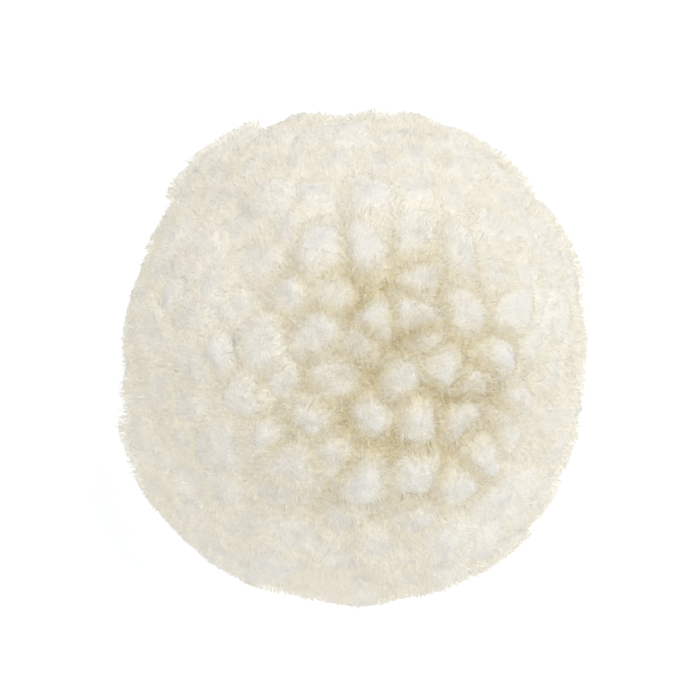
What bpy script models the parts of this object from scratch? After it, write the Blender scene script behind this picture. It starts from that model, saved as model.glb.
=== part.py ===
"""Yarn pom pom: a trimmed ball of thick wool yarn, cut into locks that all spring from one bound heart.

Every lock has four sides. It is fused to the heart at its root, swells towards its cut end and closes in a
soft dome. The ball keeps the humps and flats of a scissor trim, and it rests on a small flat spot where the
lowest locks are shorter. Metres, +Z up.
"""

import math
from collections import namedtuple

import bmesh
import bpy
import numpy as np
from mathutils import Vector, noise

# The trimmed ball, from the heart's middle to the ends of its locks
HALF_WIDTH = 0.0289
HALF_DEPTH = 0.0304
HALF_HEIGHT = 0.0292
FLAT_SPOT_RADIUS = 0.0092

# The locks. An uneven cut makes one lock longer than the next, and the grain says how fast that changes. The
# front's large locks rise a little above the rest
LOCK_COUNT = 276
HEART_RADIUS = 0.0120
HEART_ROUNDING = 2
UNEVEN_CUT = 0.0012
CUT_GRAIN = 9.0
FRONT_RISE = 0.0003

# How the locks share the ball: an even spiral, stirred, then pushed apart
GOLDEN_TURN = math.pi * (3 - math.sqrt(5))
STIR_SEED = 4
STIR = 0.065
PUSH_STEPS = 9
PUSH = 0.000045
FARTHEST_PUSH = 0.02

# The front is seen from this far above the horizon, looking along +Y. Its large locks lie this far to the
# right of the ball's middle and above it
FRONT_ELEVATION = math.radians(75)
FrontLock = namedtuple("FrontLock", "right_m above_m")
FRONT_LOCKS = [FrontLock(*row) for row in (
    (0.0013, 0.0147),
    (0.0080, 0.0153),
    (0.0138, 0.0124),
    (-0.0028, 0.0083),
    (0.0086, 0.0055),
    (0.0146, 0.0067),
    (0.0023, 0.0041),
    (-0.0046, 0.0026),
    (0.0189, -0.0008),
    (0.0114, -0.0018),
    (0.0065, -0.0024),
    (-0.0020, -0.0025),
    (-0.0129, -0.0053),
    (-0.0051, -0.0074),
    (0.0138, -0.0087),
    (-0.0074, -0.0130),
    (0.0011, -0.0139),
    (0.0126, -0.0161),
)]

# Humps that the trim left standing, and flats where it cut deeper, which have a rise below zero
Hump = namedtuple("Hump", "azimuth_deg elevation_deg rise_m spread_deg")
TRIM = [Hump(*row) for row in (
    (126, 12, 0.0022, 20),
    (44, 11, 0.0017, 26),
    (82, 15, 0.0005, 14),
    (221, -10, 0.0017, 28),
    (308, -11, 0.0017, 22),
    (175, 4, -0.0004, 18),
    (331, -8, -0.0006, 8),
    (341, -5, 0.0012, 10),
    (151, 7, 0.0006, 14),
    (280, -15, 0.0006, 16),
    (250, 40, 0.0006, 26),
    (345, 48, -0.0005, 24),
    (40, -42, 0.0007, 24),
    (152, -40, -0.0004, 26),
)]

# A lock's rings, from its root to its cut end: how far along the lock, and how much of its cell it fills
Ring = namedtuple("Ring", "length_share width_share")
ROOT_RING = Ring(-0.16, 0.80)
RINGS = [Ring(*row) for row in (
    (0.80, 0.94),
    (0.94, 0.88),
    (1.00, 0.60),
)]
LOCK_SIDES = 4
NEIGHBOURS = 24
LOCK_TWIST = math.radians(14)
TURNS_TRIED = 9

YARN_CREAM = (0.73, 0.66, 0.50, 1.0)
YARN_ROUGHNESS = 0.95
SMOOTH_WITHIN = math.radians(50)


def clear_scene():
    for obj in list(bpy.data.objects):
        bpy.data.objects.remove(obj)


def heading(azimuth, elevation):
    """The unit vector that points that way from the heart."""
    level = math.cos(elevation)
    return Vector((level * math.cos(azimuth), level * math.sin(azimuth), math.sin(elevation)))


def heart_height():
    """The heart's middle above the floor, so that the flat spot has its radius."""
    share = FLAT_SPOT_RADIUS / ((HALF_WIDTH + HALF_DEPTH) / 2)
    return HALF_HEIGHT * math.sqrt(1 - share**2)


def trimmed_reach(way):
    """How far the trim lets a lock reach along a unit vector, as if there were no floor."""
    squares = (way.x / HALF_WIDTH) ** 2 + (way.y / HALF_DEPTH) ** 2 + (way.z / HALF_HEIGHT) ** 2
    reach = 1 / math.sqrt(squares)
    for hump in TRIM:
        middle = heading(math.radians(hump.azimuth_deg), math.radians(hump.elevation_deg))
        off = way.angle(middle) / math.radians(hump.spread_deg)
        reach += hump.rise_m * math.exp(-off * off)
    return reach


def floor_reach(way, height):
    """How far it is to the floor along a unit vector."""
    return height / -way.z if way.z < 0 else math.inf


def front_ways():
    """Where the large locks of the front point."""
    above = Vector((0, math.sin(FRONT_ELEVATION), math.cos(FRONT_ELEVATION)))
    towards = Vector((0, -math.cos(FRONT_ELEVATION), math.sin(FRONT_ELEVATION)))
    radius = (HALF_WIDTH + HALF_DEPTH) / 2
    ways = []
    for lock in FRONT_LOCKS:
        depth = math.sqrt(radius**2 - lock.right_m**2 - lock.above_m**2)
        ways.append((Vector((lock.right_m, 0, 0)) + above * lock.above_m + towards * depth).normalized())
    return ways


def spiral_ways(count):
    """An even spiral of unit vectors from pole to pole, each stirred a little out of its place."""
    stirs = np.random.default_rng(STIR_SEED).normal(0, STIR, (count, 3))
    ways = []
    for i, stir in enumerate(stirs):
        way = heading(i * GOLDEN_TURN, math.asin(1 - (2 * i + 1) / count))
        ways.append((way + Vector(stir)).normalized())
    return ways


def pushed_apart(ways, kept):
    """The unit vectors after each has moved away from its neighbours. The first few are kept where they are."""
    ways = np.array(ways)
    fixed = ways[:kept].copy()
    for _ in range(PUSH_STEPS):
        apart = ways[:, None] - ways[None]
        distance = np.linalg.norm(apart, axis=2) + np.eye(len(ways))
        push = PUSH * (apart / distance[..., None] ** 4).sum(axis=1)
        length = np.linalg.norm(push, axis=1, keepdims=True)
        ways += push * np.minimum(1, FARTHEST_PUSH / length)
        ways /= np.linalg.norm(ways, axis=1, keepdims=True)
        ways[:kept] = fixed
    return [Vector(way) for way in ways]


def lock_ways():
    """Where every lock points: the foot in the middle of the flat spot, the front's large ones, then the rest."""
    kept = [Vector((0, 0, -1))] + front_ways()
    rest = spiral_ways(LOCK_COUNT)
    for way in kept:
        rest.remove(max(rest, key=way.dot))
    return pushed_apart(kept + rest, len(kept))


def cell_edge(way, side, ways):
    """How far a lock's cell reaches along a unit vector at right angles to the lock, for a lock of length one."""
    edges = [(1 - way.dot(other)) / side.dot(other) for other in ways if side.dot(other) > 1e-6]
    return min(edges)


def lock_sides(way, turn):
    """The unit vectors towards a lock's four corners."""
    right = way.orthogonal().normalized()
    back = way.cross(right)
    angles = [turn + i * math.tau / LOCK_SIDES for i in range(LOCK_SIDES)]
    return [right * math.cos(angle) + back * math.sin(angle) for angle in angles]


def fullest_turn(way, ways):
    """How a lock is turned about itself to fill the most of its cell."""
    def filled(turn):
        reaches = [cell_edge(way, side, ways) for side in lock_sides(way, turn)]
        return sum(a * b for a, b in zip(reaches, reaches[1:] + reaches[:1]))

    return max((i * math.tau / LOCK_SIDES / TURNS_TRIED for i in range(TURNS_TRIED)), key=filled)


def place_ring(face, way, ways, turn, reach, ring, height):
    """Puts a lock's newest ring at its share of the lock's length, as wide as its share of the cell."""
    sides = lock_sides(way, turn + LOCK_TWIST * ring.length_share)
    for vert, side in zip(face.verts, sides):
        corner = (way + side * ring.width_share * cell_edge(way, side, ways)).normalized()
        length = min(reach, floor_reach(corner, height)) - HEART_RADIUS
        vert.co = corner * (HEART_RADIUS + ring.length_share * length)


def add_lock(bm, way, ways, reach, height):
    """One lock, drawn out ring by ring from a root inside the heart."""
    turn = fullest_turn(way, ways)
    start = bmesh.ops.create_circle(bm, cap_ends=True, radius=HEART_RADIUS, segments=LOCK_SIDES)
    end = start["verts"][0].link_faces[0]
    place_ring(end, way, ways, turn, reach, ROOT_RING, height)
    root_edges = end.edges[:]
    for ring in RINGS:
        end = bmesh.ops.extrude_discrete_faces(bm, faces=[end])["faces"][0]
        place_ring(end, way, ways, turn, reach, ring, height)
    bmesh.ops.holes_fill(bm, edges=root_edges, sides=LOCK_SIDES)


def all_locks(height):
    """Every lock on its own, with a gap to the next one all the way down."""
    bm = bmesh.new()
    ways = lock_ways()
    large = len(FRONT_LOCKS) + 1
    for i, way in enumerate(ways):
        near = sorted(ways, key=way.dot)[-NEIGHBOURS - 1 : -1]
        reach = trimmed_reach(way) + UNEVEN_CUT * noise.noise(way * CUT_GRAIN)
        if 0 < i < large:
            reach += FRONT_RISE
        add_lock(bm, way, near, reach, height)
    return bm


def ball_middle(bm):
    """The middle of the ball's box, seen from above."""
    middle = []
    for axis in range(2):
        values = [vert.co[axis] for vert in bm.verts]
        middle.append((min(values) + max(values)) / 2)
    return Vector((*middle, 0))


def heart():
    """The tight middle that holds the locks' roots."""
    bm = bmesh.new()
    bmesh.ops.create_icosphere(bm, subdivisions=HEART_ROUNDING, radius=HEART_RADIUS)
    return bm


def yarn():
    material = bpy.data.materials.new("cream_wool_yarn")
    material.use_nodes = True
    shader = material.node_tree.nodes["Principled BSDF"]
    shader.inputs["Base Color"].default_value = YARN_CREAM
    shader.inputs["Roughness"].default_value = YARN_ROUGHNESS
    shader.inputs["Metallic"].default_value = 0.0
    return material


def add_object(name, bm, shift, material):
    """Turns a bmesh into an object whose place is in its mesh."""
    bmesh.ops.translate(bm, verts=bm.verts[:], vec=shift)
    bmesh.ops.recalc_face_normals(bm, faces=bm.faces[:])
    mesh = bpy.data.meshes.new(name)
    bm.to_mesh(mesh)
    bm.free()
    mesh.shade_smooth()
    mesh.set_sharp_from_angle(angle=SMOOTH_WITHIN)
    mesh.materials.append(material)
    obj = bpy.data.objects.new(name, mesh)
    bpy.context.scene.collection.objects.link(obj)
    return obj


def make_pompom():
    """The pom pom's one piece: the heart, with every lock joined to it."""
    height = heart_height()
    locks = all_locks(height)
    shift = Vector((0, 0, height)) - ball_middle(locks)
    material = yarn()
    bundle = add_object("lock_bundle", locks, shift, material)
    bundle.hide_render = True
    bundle.display_type = "WIRE"
    pompom = add_object("yarn_locks", heart(), shift, material)
    join = pompom.modifiers.new("locks_on_heart", "BOOLEAN")
    join.operation = "UNION"
    join.object = bundle


clear_scene()
make_pompom()
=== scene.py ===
"""Yarn pom pom: the looks of a trimmed ball of cream wool yarn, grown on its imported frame.

The frame's four-sided locks become soft round tufts, one on each lock. Fine wool fibres lie over every
tuft, stand in the clefts between tufts and stray across them. Metres, +Z up, at rest on the flat spot.
"""

import math
from collections import namedtuple

import bmesh
import bpy
import numpy as np
from bpy.props import FloatProperty, FloatVectorProperty, IntProperty, PointerProperty
from mathutils import Matrix, Vector, noise


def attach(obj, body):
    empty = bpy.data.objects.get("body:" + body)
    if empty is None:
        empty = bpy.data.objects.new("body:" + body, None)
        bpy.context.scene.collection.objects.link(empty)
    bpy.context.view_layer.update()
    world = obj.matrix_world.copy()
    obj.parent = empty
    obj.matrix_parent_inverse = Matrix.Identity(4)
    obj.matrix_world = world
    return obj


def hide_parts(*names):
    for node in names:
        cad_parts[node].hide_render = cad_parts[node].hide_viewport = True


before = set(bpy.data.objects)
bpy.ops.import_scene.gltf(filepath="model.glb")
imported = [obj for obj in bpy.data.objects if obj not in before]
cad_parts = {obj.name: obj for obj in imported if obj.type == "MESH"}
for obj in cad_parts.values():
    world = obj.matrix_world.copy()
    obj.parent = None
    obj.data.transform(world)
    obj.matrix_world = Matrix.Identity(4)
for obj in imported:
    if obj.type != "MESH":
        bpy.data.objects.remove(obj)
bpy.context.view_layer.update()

bl_info = {
    "name": "Yarn Pom Pom",
    "version": (1, 0, 0),
    "blender": (4, 5, 0),
    "location": "View3D > Sidebar > Pom Pom",
    "description": "Grows soft tufts and fine fibres on a yarn pom pom and sets its stage",
    "category": "Object",
}

# The frame's locks, by the same rules as the ones that made them
FLAT_SPOT_RADIUS = 0.0092
HEART_RADIUS = 0.0120
GOLDEN_TURN = math.pi * (3 - math.sqrt(5))
STIR_SEED = 4
STIR = 0.065
PUSH_STEPS = 9
PUSH = 0.000045
FARTHEST_PUSH = 0.02
NEIGHBOURS = 24
CUT_GRAIN = 9.0
FRONT_RISE = 0.0003
FRONT_ELEVATION = math.radians(75)

# Where the heart's middle is, seen from above. The origin is the middle of the ball's uneven outline instead
HEART_PLACE = (-0.00017, 0.00009)

FrontLock = namedtuple("FrontLock", "right_m above_m")
FRONT_LOCKS = [FrontLock(*row) for row in (
    (0.0013, 0.0147),
    (0.0080, 0.0153),
    (0.0138, 0.0124),
    (-0.0028, 0.0083),
    (0.0086, 0.0055),
    (0.0146, 0.0067),
    (0.0023, 0.0041),
    (-0.0046, 0.0026),
    (0.0189, -0.0008),
    (0.0114, -0.0018),
    (0.0065, -0.0024),
    (-0.0020, -0.0025),
    (-0.0129, -0.0053),
    (-0.0051, -0.0074),
    (0.0138, -0.0087),
    (-0.0074, -0.0130),
    (0.0011, -0.0139),
    (0.0126, -0.0161),
)]

Hump = namedtuple("Hump", "azimuth_deg elevation_deg rise_m spread_deg")
TRIM = [Hump(*row) for row in (
    (126, 12, 0.0022, 20),
    (44, 11, 0.0017, 26),
    (82, 15, 0.0005, 14),
    (221, -10, 0.0017, 28),
    (308, -11, 0.0017, 22),
    (175, 4, -0.0004, 18),
    (331, -8, -0.0006, 8),
    (341, -5, 0.0012, 10),
    (151, 7, 0.0006, 14),
    (280, -15, 0.0006, 16),
    (250, 40, 0.0006, 26),
    (345, 48, -0.0005, 24),
    (40, -42, 0.0007, 24),
    (152, -40, -0.0004, 26),
)]

# Where this ball's fluff stands higher or lower than its trimmed locks, as humps too
FLUFF = [Hump(*row) for row in (
    (22, 6, -0.0003, 6),
    (39, 12, -0.0009, 6),
    (48, 8, 0.0005, 6),
    (66, 18, 0.0012, 8),
    (116, 13, 0.0011, 10),
    (153, 7, -0.0007, 15),
    (172, 4, -0.0004, 7),
    (198, -5, -0.0004, 8),
    (305, -12, -0.0004, 10),
    (328, -8, -0.0014, 7),
    (335, -13, -0.0010, 9),
    (342, -3, 0.0004, 6),
)]

# Where the front's clefts are parted deepest, in its view
Parting = namedtuple("Parting", "right_m above_m depth_share spread_m")
PARTINGS = [Parting(*row) for row in (
    (0.0009, 0.0089, 0.8, 0.0028),
    (0.0066, 0.0016, 0.6, 0.0024),
    (0.0019, -0.0023, 0.7, 0.0024),
    (0.0153, -0.0036, 0.8, 0.0026),
    (0.0103, -0.0072, 0.8, 0.0029),
    (0.0034, -0.0106, 0.7, 0.0025),
    (-0.0012, -0.0071, 0.5, 0.0022),
    (-0.0049, -0.0027, 0.5, 0.0022),
    (-0.0094, 0.0108, 0.6, 0.0026),
    (-0.0082, 0.0043, 0.4, 0.0022),
    (-0.0114, -0.0026, 0.4, 0.0020),
    (-0.0098, -0.0082, 0.6, 0.0026),
    (-0.0171, -0.0033, 0.6, 0.0022),
    (0.0153, -0.0123, 0.6, 0.0025),
    (0.0198, 0.0029, 0.5, 0.0020),
    (-0.0029, 0.0164, 0.4, 0.0020),
)]

# Every cleft is parted by a share that drifts over the ball. The partings above add to it, and the range
# bounds the sum
SHALLOW_PARTING = 0.8
PARTING_SEED = 5
PARTING_GRAIN = 0.22
PARTING_RANGE = (0.15, 1.8)

# The middle of the part of the front where the pile stands open, right of the ball's middle and above it. It
# closes towards the sides, fully where the cosine of the angle from there is this. The power says how much
# faster than the clefts the painted gold shade between the tufts fades there, which paints the sides paler
OPEN_MIDDLE = (0.0055, -0.0030)
CLOSED_FACING = 0.5
SIDE_SHADE_FADING_POWER = 4

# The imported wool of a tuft: how far along the lock, and how much of its cell it fills. It meets its
# neighbours at its widest rings. The soft mound above them ends a little under the fibres' cut ends, and
# its first ring is given by number, counted from 0
Ring = namedtuple("Ring", "length_share width_share")
PACKED_RINGS = [Ring(*row) for row in (
    (-0.10, 0.70),
    (0.40, 0.90),
    (0.64, 1.08),
    (0.78, 1.44),
    (0.838, 1.40),
    (0.865, 1.08),
    (0.889, 0.93),
    (0.909, 0.80),
    (0.926, 0.68),
    (0.941, 0.56),
    (0.952, 0.43),
    (0.960, 0.29),
    (0.964, 0.11),
)]
MOUND_RING = 4
TUFT_SIDES = 18

# How sharp the corners of a cell are, and the share of the length above which clefts are parted
CELL_SHARPNESS = 4
PARTED_FROM = 0.82

# How the tufts stand out of the ball: more of them sink than rise
NAP_SEED = 227
NAP_MEAN = -0.6

# A drift is a sum of waves along each axis, divided by about its length. The tufts waft out of their places
# together, and their skins have lumps: how many to a metre, and how high as a share of the lumpiness
DRIFT_WAVES = 10
DRIFT_LENGTH = 4
WAFT_SEED = 3
WAFT_GRAIN = 0.0030
LUMPS = ((600, 1.0), (1500, 0.6))

# The depth of the painted shade is measured from a skin that mostly follows each tuft. Packed wool is a
# little deeper, so painted a little more shaded
SKIN_FOLLOWS = 0.7
PACKED_DEPTH = 0.02

# How fast the combed streaks fan out from a tuft's middle, how much they change towards its edge, and how
# much from one tuft to the next
FAN_SPEED = 2
EDGE_STEP = 0.25
TUFT_STEP = 3

# Each fibre's own length and width, as shares of its kind's. Its root lies a little way into the packed
# wool. The trim leaves at least the shortest share of it, and takes it to rise by at least a share of its
# length
FIBRE_LENGTHS = (0.5, 1.3)
FIBRE_WIDTHS = (0.7, 1.3)
ROOT_SINK = 0.0002
SHORTEST_SHARE = 0.25
LEAST_RISE = 0.05

# The kinds of fibre: their share of the count, their joints, and from which to which share of the cell's
# width they stand. Bloom leans them outwards, comb leans a clump of them together, and stray leans each by
# itself. Fuzz is how far their ends pass the trim
Fibre = namedtuple(
    "Fibre",
    "piece count_share joints inner outer length_m bloom clump_m comb stray fuzz_m width_share curl",
)
FIBRES = [Fibre(*row) for row in (
    ("crown_fibres", 0.28, 0, 0.00, 0.72, 0.0013, 0.9, 0.0012, 0.35, 0.35, 0.00012, 0.9, 0.0),
    ("slope_fibres", 0.31, 0, 0.56, 1.00, 0.0014, 1.1, 0.0012, 0.35, 0.35, 0.00010, 1.0, 0.0),
    ("cleft_fibres", 0.31, 0, 0.84, 1.28, 0.0013, 0.6, 0.0010, 0.50, 0.55, 0.00010, 1.0, 0.0),
    ("curled_fibres", 0.10, 1, 0.60, 1.24, 0.0020, 0.7, 0.0012, 0.60, 0.60, 0.00012, 1.0, 0.5),
)]
STRAY_FIBRES = Fibre(
    "stray_fibres", 1.0, 1, 0.00, 1.10, 0.0028, 0.9, 0.0016, 0.60, 0.60, 0.00022, 0.85, 0.5
)

# The stage. The picture shows the ball a few pixels right of its middle and below it
FLOOR_HALF = 1.5
FLOOR_LIGHT_COLOUR = (0.88, 0.93, 1, 1)
SKY_COLOUR = (1.0, 0.987, 0.958, 1)
KEY_COLOUR = (0.95, 0.97, 1.0)
KEY_SIZE = 0.30
KEY_OFFSET = (0.18, 0.06, 0.53)
PICTURE_PX = 700
BALL_RIGHT_PX = 3.5
BALL_BELOW_PX = 6.5


def unit(vectors):
    """The vectors at a length of one."""
    return vectors / np.linalg.norm(vectors, axis=-1, keepdims=True)


def drift(rng, points, grain):
    """A smooth random vector for each point, of about unit length, that changes over the grain's size."""
    waves = rng.normal(0, 1 / grain, (3, DRIFT_WAVES, 3))
    starts = rng.uniform(0, math.tau, (3, DRIFT_WAVES))
    sines = np.sin(np.einsum("...k,cwk->...cw", points, waves) + starts)
    return sines.sum(axis=-1) / DRIFT_LENGTH


def heading(azimuth, elevation):
    """The unit vector that points that way from the heart."""
    level = math.cos(elevation)
    return np.array((level * math.cos(azimuth), level * math.sin(azimuth), math.sin(elevation)))


def front_way(right, above, radius):
    """The unit vector to what the front view shows so far right of the ball's middle and above it."""
    up = heading(math.pi / 2, math.pi / 2 - FRONT_ELEVATION)
    towards = heading(-math.pi / 2, FRONT_ELEVATION)
    depth = math.sqrt(radius**2 - right**2 - above**2)
    return unit(np.array((right, 0, 0)) + up * above + towards * depth)


class Ball:
    """Where the frame's locks point, how long they are, and how wide their cells are."""

    def __init__(self, shape):
        halves = np.array((shape.half_width, shape.half_depth, shape.half_height))
        radius = (halves[0] + halves[1]) / 2
        self.radius = radius
        self.height = halves[2] * math.sqrt(1 - (FLAT_SPOT_RADIUS / radius) ** 2)
        self.middle = np.array((*HEART_PLACE, self.height))
        self.waft = shape.waft
        self.ways = self.lock_ways(shape.lock_count, radius)
        self.trimmed = self.trim_reach(halves)
        cut = np.array([noise.noise(Vector(way) * CUT_GRAIN) for way in self.ways])
        self.reach = self.trimmed + shape.uneven_cut * cut
        self.reach[1 : len(FRONT_LOCKS) + 1] += FRONT_RISE
        nap = np.random.default_rng(NAP_SEED).normal(NAP_MEAN, 1, len(self.reach))
        self.reach += shape.uneven_nap * nap
        self.side_openness = shape.side_openness
        self.uneven_parting = shape.uneven_parting
        closeness = self.ways @ self.ways.T
        nearest = np.argsort(-closeness, axis=1)[:, 1 : NEIGHBOURS + 1]
        self.near = self.ways[nearest]
        self.gap = 1 - np.take_along_axis(closeness, nearest, axis=1)
        rights = [Vector(way).orthogonal().normalized() for way in self.ways]
        self.right = np.array(rights)
        self.back = np.cross(self.ways, self.right)

    def lock_ways(self, count, radius):
        """The foot in the middle of the flat spot, the front's large locks, then the rest, pushed apart."""
        kept = [np.array((0.0, 0.0, -1.0))] + [front_way(*lock, radius) for lock in FRONT_LOCKS]
        stirs = np.random.default_rng(STIR_SEED).normal(0, STIR, (count, 3))
        rest = []
        for i, stir in enumerate(stirs):
            way = heading(i * GOLDEN_TURN, math.asin(1 - (2 * i + 1) / count))
            rest.append(unit(way + stir))
        for way in kept:
            rest.pop(int(np.argmax(np.array(rest) @ way)))
        ways = np.array(kept + rest)
        fixed = ways[: len(kept)].copy()
        for _ in range(PUSH_STEPS):
            apart = ways[:, None] - ways[None]
            distance = np.linalg.norm(apart, axis=2) + np.eye(len(ways))
            push = PUSH * (apart / distance[..., None] ** 4).sum(axis=1)
            length = np.linalg.norm(push, axis=1, keepdims=True)
            ways += push * np.minimum(1, FARTHEST_PUSH / length)
            ways = unit(ways)
            ways[: len(kept)] = fixed
        return ways

    def trim_reach(self, halves):
        """How far the trim lets each lock reach from the heart's middle, as if there were no floor."""
        reach = 1 / np.sqrt(((self.ways / halves) ** 2).sum(axis=1))
        for hump in TRIM + FLUFF:
            middle = heading(math.radians(hump.azimuth_deg), math.radians(hump.elevation_deg))
            off = np.arccos(np.clip(self.ways @ middle, -1, 1)) / math.radians(hump.spread_deg)
            reach += hump.rise_m * np.exp(-off * off)
        return reach

    def openness(self, out):
        """How open the pile stands along unit vectors: 1 at the front and the back, less at the sides."""
        facing = np.abs(out @ front_way(*OPEN_MIDDLE, self.radius))
        facing = np.clip((facing - CLOSED_FACING) / (1 - CLOSED_FACING), 0, 1)
        return self.side_openness + (1 - self.side_openness) * facing * facing * (3 - 2 * facing)

    def parting(self, out):
        """How much deeper than usual the clefts between tufts are along unit vectors."""
        patches = drift(np.random.default_rng(PARTING_SEED), out, PARTING_GRAIN)[..., 0]
        deeper = SHALLOW_PARTING + self.uneven_parting * patches
        for parting in PARTINGS:
            way = front_way(parting.right_m, parting.above_m, self.radius)
            off = np.linalg.norm(out - way, axis=-1) * self.radius / parting.spread_m
            deeper = deeper + parting.depth_share * np.exp(-off * off)
        return np.clip(deeper, *PARTING_RANGE)

    def place(self, lock, angle, length_share, width_share):
        """Points in locks, each by its angle round the lock and its shares of the length and the cell."""
        angle = angle[..., None]
        side = self.right[lock] * np.cos(angle) + self.back[lock] * np.sin(angle)
        nearness = np.maximum((self.near[lock] * side[..., None, :]).sum(axis=-1), 0) / self.gap[lock]
        cell = (nearness**CELL_SHARPNESS).sum(axis=-1) ** (-1 / CELL_SHARPNESS)
        corner = unit(self.ways[lock] + side * (width_share * cell)[..., None])
        to_floor = np.where(corner[..., 2] < 0, self.height / np.maximum(-corner[..., 2], 1e-6), np.inf)
        length = np.minimum(self.reach[lock], to_floor) - HEART_RADIUS
        crown = PACKED_RINGS[-1].length_share
        packed = 1 - ((1 - crown) + (crown - length_share) * self.parting(corner)) * self.openness(corner)
        length_share = np.where(length_share > PARTED_FROM, np.maximum(packed, PARTED_FROM), length_share)
        points = self.middle + corner * (HEART_RADIUS + length_share * length)[..., None]
        waft = drift(np.random.default_rng(WAFT_SEED), points, WAFT_GRAIN)
        return points + waft * (self.waft * np.clip(length_share, 0, 1))[..., None]

    def depth(self, lock, points, deepest):
        """How deep points lie under the ball's skin, which sets the painted shade: 0 at the skin and 1 at
        the depth given as deepest. Towards the sides it counts for less, so the painted shade fades there.
        """
        out = points - self.middle
        length = np.linalg.norm(out, axis=-1)
        out = out / length[..., None]
        rise = self.waft * (drift(np.random.default_rng(WAFT_SEED), points, WAFT_GRAIN) * out).sum(axis=-1)
        skin = SKIN_FOLLOWS * (self.reach[lock] + rise) + (1 - SKIN_FOLLOWS) * self.trimmed[lock]
        # The painted shade fades towards the sides, which paints them paler
        under = (skin - length) * self.openness(out) ** SIDE_SHADE_FADING_POWER
        return np.clip(under / deepest, 0, 1)


def club_pattern():
    """A tuft before it is fitted to its cell: rings round +Z, at the height of their length share."""
    bm = bmesh.new()
    bmesh.ops.create_circle(bm, cap_ends=True, radius=1, segments=TUFT_SIDES)
    bm.faces.ensure_lookup_table()
    end = bm.faces[0]
    for i, ring in enumerate(PACKED_RINGS):
        if i:
            end = bmesh.ops.extrude_discrete_faces(bm, faces=[end])["faces"][0]
        width = ring.width_share
        for k, vert in enumerate(end.verts):
            angle = k * math.tau / TUFT_SIDES
            vert.co = (width * math.cos(angle), width * math.sin(angle), ring.length_share)
    bmesh.ops.holes_fill(bm, edges=[edge for edge in bm.edges if edge.is_boundary], sides=TUFT_SIDES)
    bmesh.ops.recalc_face_normals(bm, faces=bm.faces[:])
    return bm


def fibre_pattern(joints):
    """A three-sided fibre of unit radius and length, thin at its root and blunt where it is cut."""
    bm = bmesh.new()
    bmesh.ops.create_circle(bm, cap_ends=True, radius=1, segments=3)
    bm.faces.ensure_lookup_table()
    end = bm.faces[0]
    bmesh.ops.translate(bm, verts=end.verts[:], vec=(0, 0, 1))
    for i in range(joints, -1, -1):
        along = i / (joints + 1)
        end = bmesh.ops.extrude_discrete_faces(bm, faces=[end])["faces"][0]
        for k, vert in enumerate(end.verts):
            angle = k * math.tau / 3
            vert.co = (math.cos(angle), math.sin(angle), along)
    bmesh.ops.pointmerge(bm, verts=end.verts[:], merge_co=(0, 0, 0))
    bmesh.ops.holes_fill(bm, edges=[edge for edge in bm.edges if edge.is_boundary], sides=3)
    bmesh.ops.recalc_face_normals(bm, faces=bm.faces[:])
    return bm


def pattern_points(bm):
    """Where the pattern's vertices are, one row for each."""
    return np.array([vert.co for vert in bm.verts])


def repeated(name, bm, points, values):
    """An object with a copy of the pattern for each row of points, which places the copy's vertices."""
    bm.verts.index_update()
    corners = [[vert.index for vert in face.verts] for face in bm.faces]
    starts = np.cumsum([0] + [len(face) for face in corners[:-1]])
    corners = np.concatenate(corners)
    copies = np.arange(len(points))[:, None]
    mesh = bpy.data.meshes.new(name)
    mesh.vertices.add(points.shape[0] * points.shape[1])
    mesh.vertices.foreach_set("co", points.astype(np.float32).ravel())
    mesh.loops.add(len(points) * len(corners))
    mesh.loops.foreach_set("vertex_index", (corners + copies * points.shape[1]).astype(np.int32).ravel())
    mesh.polygons.add(len(points) * len(starts))
    mesh.polygons.foreach_set("loop_start", (starts + copies * len(corners)).astype(np.int32).ravel())
    mesh.update(calc_edges=True)
    mesh.shade_smooth()
    for key, numbers in values.items():
        layer = mesh.attributes.new(key, "FLOAT", "POINT")
        layer.data.foreach_set("value", numbers.astype(np.float32).ravel())
    bm.free()
    obj = bpy.data.objects.new(name, mesh)
    bpy.context.scene.collection.objects.link(obj)
    return obj


def finish_piece(obj, material):
    """Puts the yarn on a piece and hangs it on the root body's empty."""
    obj.data.materials.append(material)
    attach(obj, "root")


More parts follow.
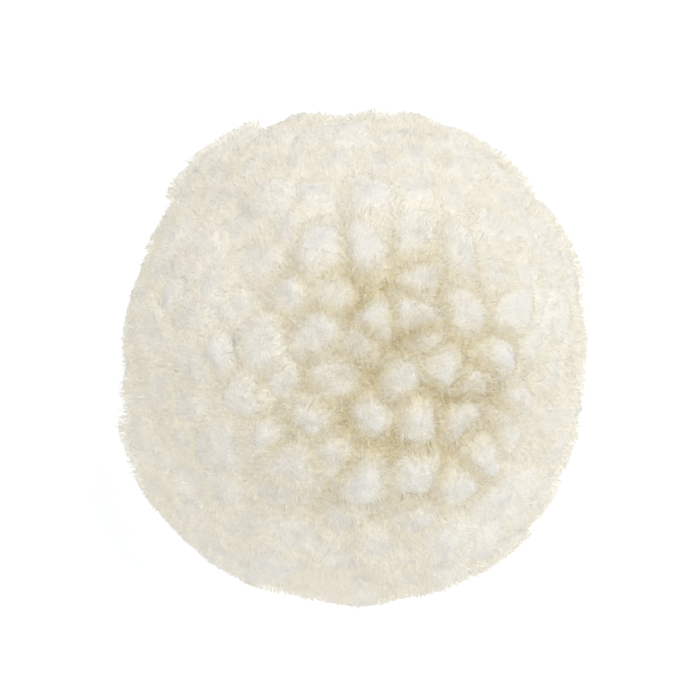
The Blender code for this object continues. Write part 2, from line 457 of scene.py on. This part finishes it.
def wool_tint_and_shade_group():
    """Colours wool from its pale cut ends down to a deep gold painted as shade between the tufts, and
    darkens it with depth as painted shade. Strands differ in tone at random, most where deepest.
    """
    name = "wool_tint_and_shade"
    if name in bpy.data.node_groups:
        return bpy.data.node_groups[name]
    group = bpy.data.node_groups.new(name, "ShaderNodeTree")
    for label, kind in (
        ("Depth", "NodeSocketFloat"),
        ("Strand", "NodeSocketFloat"),
        ("Ends", "NodeSocketColor"),
        ("Cream", "NodeSocketColor"),
        ("Shade Gold", "NodeSocketColor"),
    ):
        group.interface.new_socket(label, in_out="INPUT", socket_type=kind)
    group.interface.new_socket("Colour", in_out="OUTPUT", socket_type="NodeSocketColor")
    nodes, links = group.nodes, group.links
    given = nodes.new("NodeGroupInput")
    made = nodes.new("NodeGroupOutput")

    def share_between(low, high):
        share = nodes.new("ShaderNodeMapRange")
        share.interpolation_type = "SMOOTHSTEP"
        share.inputs["From Min"].default_value = low
        share.inputs["From Max"].default_value = high
        links.new(given.outputs["Depth"], share.inputs["Value"])
        return share.outputs["Result"]

    def blended(share, first, second):
        mix = nodes.new("ShaderNodeMix")
        mix.data_type = "RGBA"
        links.new(share, mix.inputs["Factor"])
        links.new(first, mix.inputs["A"])
        links.new(second, mix.inputs["B"])
        return mix.outputs["Result"]

    # Painted shade: deeper wool blends from the ends' colour through cream to gold
    pale = blended(share_between(0.05, 0.45), given.outputs["Ends"], given.outputs["Cream"])
    painted_gold_shade = blended(share_between(0.32, 0.95), pale, given.outputs["Shade Gold"])
    # Painted shade: the darkest strands grow darker with depth; otherwise strand tone differs at random
    painted_depth_shade = nodes.new("ShaderNodeMapRange")
    painted_depth_shade.inputs["To Min"].default_value = 0.94
    painted_depth_shade.inputs["To Max"].default_value = 0.64
    links.new(given.outputs["Depth"], painted_depth_shade.inputs["Value"])
    brightness = nodes.new("ShaderNodeMapRange")
    brightness.clamp = False
    brightness.inputs["To Max"].default_value = 1.09
    links.new(painted_depth_shade.outputs["Result"], brightness.inputs["To Min"])
    links.new(given.outputs["Strand"], brightness.inputs["Value"])
    scaled = nodes.new("ShaderNodeVectorMath")
    scaled.operation = "SCALE"
    links.new(painted_gold_shade, scaled.inputs[0])
    links.new(brightness.outputs["Result"], scaled.inputs["Scale"])
    links.new(scaled.outputs["Vector"], made.inputs["Colour"])
    return group


def wool_material(name, yarn, glow, light_through):
    """Wool with the shared tint and painted shade, which it also gives off as a painted glow. Its roughness,
    sheen and glow are plain numbers on the shader.
    """
    material = bpy.data.materials.new(name)
    material.use_nodes = True
    nodes, links = material.node_tree.nodes, material.node_tree.links
    shader = nodes["Principled BSDF"]
    shader.inputs["Roughness"].default_value = yarn.roughness
    shader.inputs["Specular IOR Level"].default_value = 0.2
    shader.inputs["Sheen Weight"].default_value = yarn.sheen
    shader.inputs["Sheen Roughness"].default_value = 0.5
    tint_and_shade = nodes.new("ShaderNodeGroup")
    tint_and_shade.node_tree = wool_tint_and_shade_group()
    depth = nodes.new("ShaderNodeAttribute")
    depth.attribute_name = "depth"
    links.new(depth.outputs["Fac"], tint_and_shade.inputs["Depth"])
    tint_and_shade.inputs["Ends"].default_value = (*yarn.ends_colour, 1)
    tint_and_shade.inputs["Cream"].default_value = (*yarn.cream_colour, 1)
    tint_and_shade.inputs["Shade Gold"].default_value = (*yarn.shade_gold_colour, 1)
    links.new(tint_and_shade.outputs["Colour"], shader.inputs["Base Color"])
    # The wool glows in its tinted, shaded colour: a painted glow that stands for light scattered through it
    links.new(tint_and_shade.outputs["Colour"], shader.inputs["Emission Color"])
    shader.inputs["Emission Strength"].default_value = glow
    through = nodes.new("ShaderNodeBsdfTranslucent")
    links.new(tint_and_shade.outputs["Colour"], through.inputs["Color"])
    both = nodes.new("ShaderNodeMixShader")
    both.inputs["Fac"].default_value = light_through
    links.new(shader.outputs["BSDF"], both.inputs[1])
    links.new(through.outputs["BSDF"], both.inputs[2])
    links.new(both.outputs["Shader"], nodes["Material Output"].inputs["Surface"])
    return material


def tuft_material(yarn):
    """The wool of the tufts, brushed with the many fibres that are too fine to model."""
    material = wool_material("packed_wool", yarn, yarn.inner_light, 0.0)
    nodes, links = material.node_tree.nodes, material.node_tree.links
    combed = nodes.new("ShaderNodeAttribute")
    combed.attribute_name = "combed"
    streaks = nodes.new("ShaderNodeTexNoise")
    streaks.inputs["Scale"].default_value = 9
    streaks.inputs["Detail"].default_value = 3
    streaks.inputs["Roughness"].default_value = 0.7
    streaks.inputs["Distortion"].default_value = 0.5
    links.new(combed.outputs["Vector"], streaks.inputs["Vector"])
    place = nodes.new("ShaderNodeTexCoord")
    grain = nodes.new("ShaderNodeTexNoise")
    grain.inputs["Scale"].default_value = 3200
    grain.inputs["Detail"].default_value = 3
    grain.inputs["Roughness"].default_value = 0.7
    links.new(place.outputs["Object"], grain.inputs["Vector"])
    both = nodes.new("ShaderNodeMath")
    both.operation = "ADD"
    links.new(streaks.outputs["Fac"], both.inputs[0])
    links.new(grain.outputs["Fac"], both.inputs[1])
    bump = nodes.new("ShaderNodeBump")
    bump.inputs["Strength"].default_value = 0.8
    bump.inputs["Distance"].default_value = 0.0005
    links.new(both.outputs["Value"], bump.inputs["Height"])
    brushed = nodes.new("ShaderNodeMapRange")
    brushed.inputs["From Min"].default_value = 0.62
    brushed.inputs["From Max"].default_value = 1.38
    brushed.inputs["To Min"].default_value = 0.1
    brushed.inputs["To Max"].default_value = 1.1
    links.new(both.outputs["Value"], brushed.inputs["Value"])
    links.new(brushed.outputs["Result"], nodes["Group"].inputs["Strand"])
    links.new(bump.outputs["Normal"], nodes["Principled BSDF"].inputs["Normal"])
    return material


def fibre_material(yarn):
    """The wool of every kind of fibre, each a little darker or brighter. It lets some light through."""
    name = "fine_wool"
    if name in bpy.data.materials:
        return bpy.data.materials[name]
    material = wool_material(name, yarn, yarn.fibre_light, yarn.light_through)
    nodes = material.node_tree.nodes
    strand = nodes.new("ShaderNodeAttribute")
    strand.attribute_name = "strand"
    material.node_tree.links.new(strand.outputs["Fac"], nodes["Group"].inputs["Strand"])
    return material


def mound_length(width_share):
    """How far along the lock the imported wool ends, at shares of the cell's width."""
    widths = [ring.width_share for ring in PACKED_RINGS[MOUND_RING:]]
    lengths = [ring.length_share for ring in PACKED_RINGS[MOUND_RING:]]
    return np.interp(width_share, widths[::-1], lengths[::-1])


def grown(kind, count, ball, rng, pile):
    """Fibres of one kind, which bloom outwards from their tufts, stray and are trimmed to the ball."""
    lock = rng.integers(0, len(ball.ways), count)
    angle = rng.uniform(0, math.tau, count)
    width_share = np.sqrt(rng.uniform(kind.inner**2, kind.outer**2, count))
    root = ball.place(lock, angle, mound_length(width_share), width_share)
    side = ball.right[lock] * np.cos(angle)[:, None] + ball.back[lock] * np.sin(angle)[:, None]
    way = unit(ball.ways[lock] + side * (kind.bloom * width_share)[:, None])
    way += drift(rng, root, kind.clump_m) * kind.comb + rng.normal(0, kind.stray, (count, 3))
    way = unit(way)
    length = kind.length_m * rng.uniform(*FIBRE_LENGTHS, count)
    out = unit(root - ball.middle)
    rise = np.maximum((way * out).sum(axis=1), LEAST_RISE) * length
    fuzz = np.abs(rng.normal(0, kind.fuzz_m, count))
    room = ball.reach[lock] + fuzz - np.linalg.norm(root - ball.middle, axis=1)
    along = way * (length * np.clip(room / rise, SHORTEST_SHARE, 1))[:, None]
    start = root - out * ROOT_SINK
    width = pile.fibre_width / 2 * kind.width_share * rng.uniform(*FIBRE_WIDTHS, count)[:, None]
    bend = np.cross(way, unit(rng.normal(0, 1, (count, 3)))) * (length * kind.curl)[:, None]
    first = unit(np.cross(way, unit(rng.normal(0, 1, (count, 3)))))
    second = np.cross(way, first)
    bm = fibre_pattern(kind.joints)
    pattern = pattern_points(bm)
    x, y, z = (pattern[None, :, i, None] for i in range(3))
    points = (
        start[:, None]
        + (along + out * ROOT_SINK)[:, None] * z
        + bend[:, None] * (z - z**2)
        + (first[:, None] * x + second[:, None] * y) * width[:, None]
    )
    points[..., 2] = np.maximum(points[..., 2], 0.0)
    locks = np.repeat(lock[:, None], points.shape[1], axis=1)
    own_depth = ball.depth(locks, points, pile.shade_gold_depth)
    root_depth = ball.depth(lock, root, pile.shade_gold_depth)[:, None]
    # Each fibre's depth sets its painted shade, golder and darker between the tufts
    values = {
        "depth": (own_depth + root_depth) / 2,
        "strand": np.repeat(rng.uniform(0, 1, count)[:, None], points.shape[1], axis=1),
    }
    return repeated(kind.piece, bm, points, values)


def length_of(name, description, default):
    """A length that the user can change, in metres."""
    return FloatProperty(name=name, description=description, default=default, unit="LENGTH", precision=5)


def share_of(name, description, default):
    """A number from 0 to 1 that the user can change."""
    return FloatProperty(
        name=name, description=description, default=default, min=0, max=1, subtype="FACTOR"
    )


def strength_of(name, description, default):
    """A strength of light that the user can change."""
    return FloatProperty(name=name, description=description, default=default, min=0)


def colour_of(name, description, default):
    """A colour that the user can change."""
    return FloatVectorProperty(
        name=name, description=description, default=default, size=3, min=0, max=1, subtype="COLOR"
    )


class PomPomShape(bpy.types.PropertyGroup):
    """The trimmed ball and its tufts"""

    half_width: length_of("Half Width", "From the heart to the cut ends along X", 0.0289)
    half_depth: length_of("Half Depth", "From the heart to the cut ends along Y", 0.0304)
    half_height: length_of("Half Height", "From the heart to the cut ends along Z", 0.0292)
    lock_count: IntProperty(
        name="Locks", description="How many locks share the ball", default=276, min=40, max=300
    )
    uneven_cut: length_of("Uneven Cut", "How much longer one lock is than the next", 0.0012)
    uneven_nap: length_of("Uneven Nap", "How far one tuft stands out and another sinks", 0.00032)
    uneven_parting: share_of("Uneven Parting", "How much deeper clefts are in one place than another", 0.5)
    side_openness: share_of("Side Openness", "How open the sides stand, as a share of the front", 0.68)
    waft: length_of("Waft", "How far the tufts lean and rise out of their places", 0.0008)
    lumpiness: length_of("Lumpiness", "How far the tufts' skins swell and sink", 0.0006)


class PomPomYarn(bpy.types.PropertyGroup):
    """The wool's colours, the painted shade and glow, and how it takes the light"""

    ends_colour: colour_of("Ends", "Colour of the cut ends", (0.985, 0.962, 0.90))
    cream_colour: colour_of("Cream", "Colour just under the ends", (0.94, 0.895, 0.762))
    # Gold is painted shade, deep between the tufts
    shade_gold_colour: colour_of("Shade Gold", "Colour deep between the tufts", (0.87, 0.782, 0.53))
    roughness: share_of("Roughness", "Roughness of the wool", 0.85)
    light_through: share_of("Light Through", "How much of the light passes through a fibre", 0.5)
    # Inner and fibre light are a painted glow of the wool, no lamp
    inner_light: share_of("Inner Light", "Stands for light scattered within the packed wool", 0.255)
    fibre_light: share_of("Fibre Light", "Stands for light passed from fibre to fibre", 0.305)
    sheen: share_of("Sheen", "Soft bright edge of the wool", 0.4)


class PomPomPile(bpy.types.PropertyGroup):
    """The fibres of the pile"""

    short_fibres: IntProperty(
        name="Short Fibres", description="Fibres on the tufts and in their clefts", default=160000, min=0
    )
    stray_fibres: IntProperty(
        name="Stray Fibres", description="Long curled fibres across the tufts", default=9000, min=0
    )
    fibre_width: length_of("Fibre Width", "Width of a fibre at its cut end", 0.00009)
    # Over this depth the painted shade turns the wool gold
    shade_gold_depth: length_of("Gold Depth", "Depth under the cut ends where the wool is all gold", 0.0038)
    seed: IntProperty(name="Seed", description="Another seed grows another pile", default=7)


class PomPomStage(bpy.types.PropertyGroup):
    """The floor, the light and the camera"""

    floor_colour: colour_of("Floor", "Colour of the floor", (0.93, 0.93, 0.93))
    floor_light: strength_of("Floor Light", "Light that the floor gives, as a light table does", 0.5)
    key_watts: strength_of("Key", "Power of the key light", 1.2)
    sky: strength_of("Sky", "Strength of the even light all round", 0.47)
    camera_elevation: FloatProperty(
        name="Camera Elevation",
        description="Camera's angle above the horizon",
        default=FRONT_ELEVATION,
        subtype="ANGLE",
    )
    camera_distance: length_of("Camera Distance", "From the heart to the camera", 0.60)
    frame_width: length_of("Frame Width", "Width of what the camera sees at the heart", 0.0875)


class POMPOM_OT_tufts(bpy.types.Operator):
    """Grows a soft round tuft on every lock of the frame"""

    bl_idname = "pompom.tufts"
    bl_label = "Tufts"

    def execute(self, context):
        scene = context.scene
        ball = Ball(scene.pompom_shape)
        bm = club_pattern()
        pattern = pattern_points(bm)
        count = len(ball.ways)
        lock = np.repeat(np.arange(count)[:, None], len(pattern), axis=1)
        angle = np.repeat(np.arctan2(pattern[:, 1], pattern[:, 0])[None], count, axis=0)
        width = np.repeat(np.hypot(pattern[:, 0], pattern[:, 1])[None], count, axis=0)
        length = np.repeat(pattern[:, 2][None], count, axis=0)
        points = ball.place(lock, angle, length, width)
        swell = scene.pompom_shape.lumpiness * np.apply_along_axis(self.lump, 2, points)
        points = points + unit(points - ball.middle) * (swell * np.clip(length, 0, 1))[..., None]
        points[..., 2] = np.maximum(points[..., 2], 0.0)
        # The tufts' depth sets their painted shade
        depth = ball.depth(lock, points, scene.pompom_pile.shade_gold_depth) + PACKED_DEPTH
        tufts = repeated("wool_tufts", bm, points, {"depth": depth})
        fan = np.tanh(FAN_SPEED * width)
        along = EDGE_STEP * width + TUFT_STEP * lock
        streaks = np.stack((np.cos(angle) * fan, np.sin(angle) * fan, along), axis=-1)
        combed = tufts.data.attributes.new("combed", "FLOAT_VECTOR", "POINT")
        combed.data.foreach_set("vector", streaks.astype(np.float32).ravel())
        finish_piece(tufts, tuft_material(scene.pompom_yarn))
        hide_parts("yarn_locks")
        return {"FINISHED"}

    def lump(self, point):
        """How far a tuft's skin swells at a point, as a share of the lumpiness."""
        return sum(height * noise.noise(Vector(point) * grain) for grain, height in LUMPS)


class POMPOM_OT_pile(bpy.types.Operator):
    """Covers the tufts with short fine fibres, on their crowns and in the clefts between them"""

    bl_idname = "pompom.pile"
    bl_label = "Pile"

    def execute(self, context):
        scene = context.scene
        ball = Ball(scene.pompom_shape)
        pile = scene.pompom_pile
        material = fibre_material(scene.pompom_yarn)
        rng = np.random.default_rng(pile.seed)
        for kind in FIBRES:
            finish_piece(grown(kind, int(pile.short_fibres * kind.count_share), ball, rng, pile), material)
        return {"FINISHED"}


class POMPOM_OT_strays(bpy.types.Operator):
    """Lets long curled fibres stray across the tufts"""

    bl_idname = "pompom.strays"
    bl_label = "Stray Fibres"

    def execute(self, context):
        scene = context.scene
        ball = Ball(scene.pompom_shape)
        pile = scene.pompom_pile
        rng = np.random.default_rng(pile.seed + 1)
        strays = grown(STRAY_FIBRES, pile.stray_fibres, ball, rng, pile)
        finish_piece(strays, fibre_material(scene.pompom_yarn))
        return {"FINISHED"}


class POMPOM_OT_stage(bpy.types.Operator):
    """Lays the pale floor and sets the soft studio light and the camera"""

    bl_idname = "pompom.stage"
    bl_label = "Stage"

    def execute(self, context):
        scene = context.scene
        stage = scene.pompom_stage
        middle = Vector(Ball(scene.pompom_shape).middle)
        self.lay_floor(scene, stage)
        self.hang_lights(scene, stage, middle)
        self.aim_camera(scene, stage, middle)
        scene.view_settings.view_transform = "Standard"
        scene.cycles.max_bounces = 12
        scene.cycles.diffuse_bounces = 8
        return {"FINISHED"}

    def lay_floor(self, scene, stage):
        """A pale floor that gives some light of its own."""
        bm = bmesh.new()
        bmesh.ops.create_grid(bm, x_segments=1, y_segments=1, size=FLOOR_HALF)
        mesh = bpy.data.meshes.new("floor")
        bm.to_mesh(mesh)
        bm.free()
        material = bpy.data.materials.new("pale_floor")
        material.use_nodes = True
        shader = material.node_tree.nodes["Principled BSDF"]
        shader.inputs["Base Color"].default_value = (*stage.floor_colour, 1)
        shader.inputs["Roughness"].default_value = 0.9
        shader.inputs["Specular IOR Level"].default_value = 0.1
        shader.inputs["Emission Color"].default_value = FLOOR_LIGHT_COLOUR
        shader.inputs["Emission Strength"].default_value = stage.floor_light
        mesh.materials.append(material)
        floor = bpy.data.objects.new("floor", mesh)
        scene.collection.objects.link(floor)

    def hang_lights(self, scene, stage, middle):
        """Even light all round and one large soft lamp, high up and a little to the right."""
        world = bpy.data.worlds.new("studio")
        world.use_nodes = True
        sky = world.node_tree.nodes["Background"]
        sky.inputs["Color"].default_value = SKY_COLOUR
        sky.inputs["Strength"].default_value = stage.sky
        scene.world = world
        lamp = bpy.data.lights.new("key", "AREA")
        lamp.shape = "DISK"
        lamp.size = KEY_SIZE
        lamp.energy = stage.key_watts
        lamp.color = KEY_COLOUR
        key = bpy.data.objects.new("key", lamp)
        offset = Vector(KEY_OFFSET)
        turn = offset.to_track_quat("Z", "Y").to_matrix().to_4x4()
        key.matrix_world = Matrix.Translation(middle + offset) @ turn
        scene.collection.objects.link(key)

    def aim_camera(self, scene, stage, middle):
        """A camera far above the front, which sees the ball where the picture shows it."""
        above = Vector((0, math.sin(stage.camera_elevation), math.cos(stage.camera_elevation)))
        towards = Vector((0, -math.cos(stage.camera_elevation), math.sin(stage.camera_elevation)))
        pixel = stage.frame_width / PICTURE_PX
        aim = middle + Vector((-BALL_RIGHT_PX * pixel, 0, 0)) + above * BALL_BELOW_PX * pixel
        lens = bpy.data.cameras.new("camera")
        lens.lens = lens.sensor_width * stage.camera_distance / stage.frame_width
        lens.clip_start = 0.01
        camera = bpy.data.objects.new("camera", lens)
        turn = towards.to_track_quat("Z", "Y").to_matrix().to_4x4()
        camera.matrix_world = Matrix.Translation(aim + towards * stage.camera_distance) @ turn
        scene.collection.objects.link(camera)
        scene.camera = camera


class POMPOM_PT_panel(bpy.types.Panel):
    """Lists the pom pom's pieces and its stage"""

    bl_idname = "POMPOM_PT_panel"
    bl_label = "Pom Pom"
    bl_space_type = "VIEW_3D"
    bl_region_type = "UI"
    bl_category = "Pom Pom"

    def draw(self, context):
        for name, group in GROUPS.items():
            box = self.layout.box()
            for key in group.__annotations__:
                box.prop(getattr(context.scene, name), key)
        for operator in PIECES:
            self.layout.operator(operator.bl_idname)


PIECES = (POMPOM_OT_tufts, POMPOM_OT_pile, POMPOM_OT_strays, POMPOM_OT_stage)
GROUPS = {
    "pompom_shape": PomPomShape,
    "pompom_yarn": PomPomYarn,
    "pompom_pile": PomPomPile,
    "pompom_stage": PomPomStage,
}


def register():
    for group in GROUPS.values():
        bpy.utils.register_class(group)
    for key, group in GROUPS.items():
        setattr(bpy.types.Scene, key, PointerProperty(type=group))
    for piece in PIECES:
        bpy.utils.register_class(piece)
    bpy.utils.register_class(POMPOM_PT_panel)


def unregister():
    bpy.utils.unregister_class(POMPOM_PT_panel)
    for piece in reversed(PIECES):
        bpy.utils.unregister_class(piece)
    for key, group in GROUPS.items():
        delattr(bpy.types.Scene, key)
        bpy.utils.unregister_class(group)


def main():
    register()
    bpy.ops.pompom.tufts()
    bpy.ops.pompom.pile()
    bpy.ops.pompom.strays()
    bpy.ops.pompom.stage()


if __name__ == "__main__":
    main()
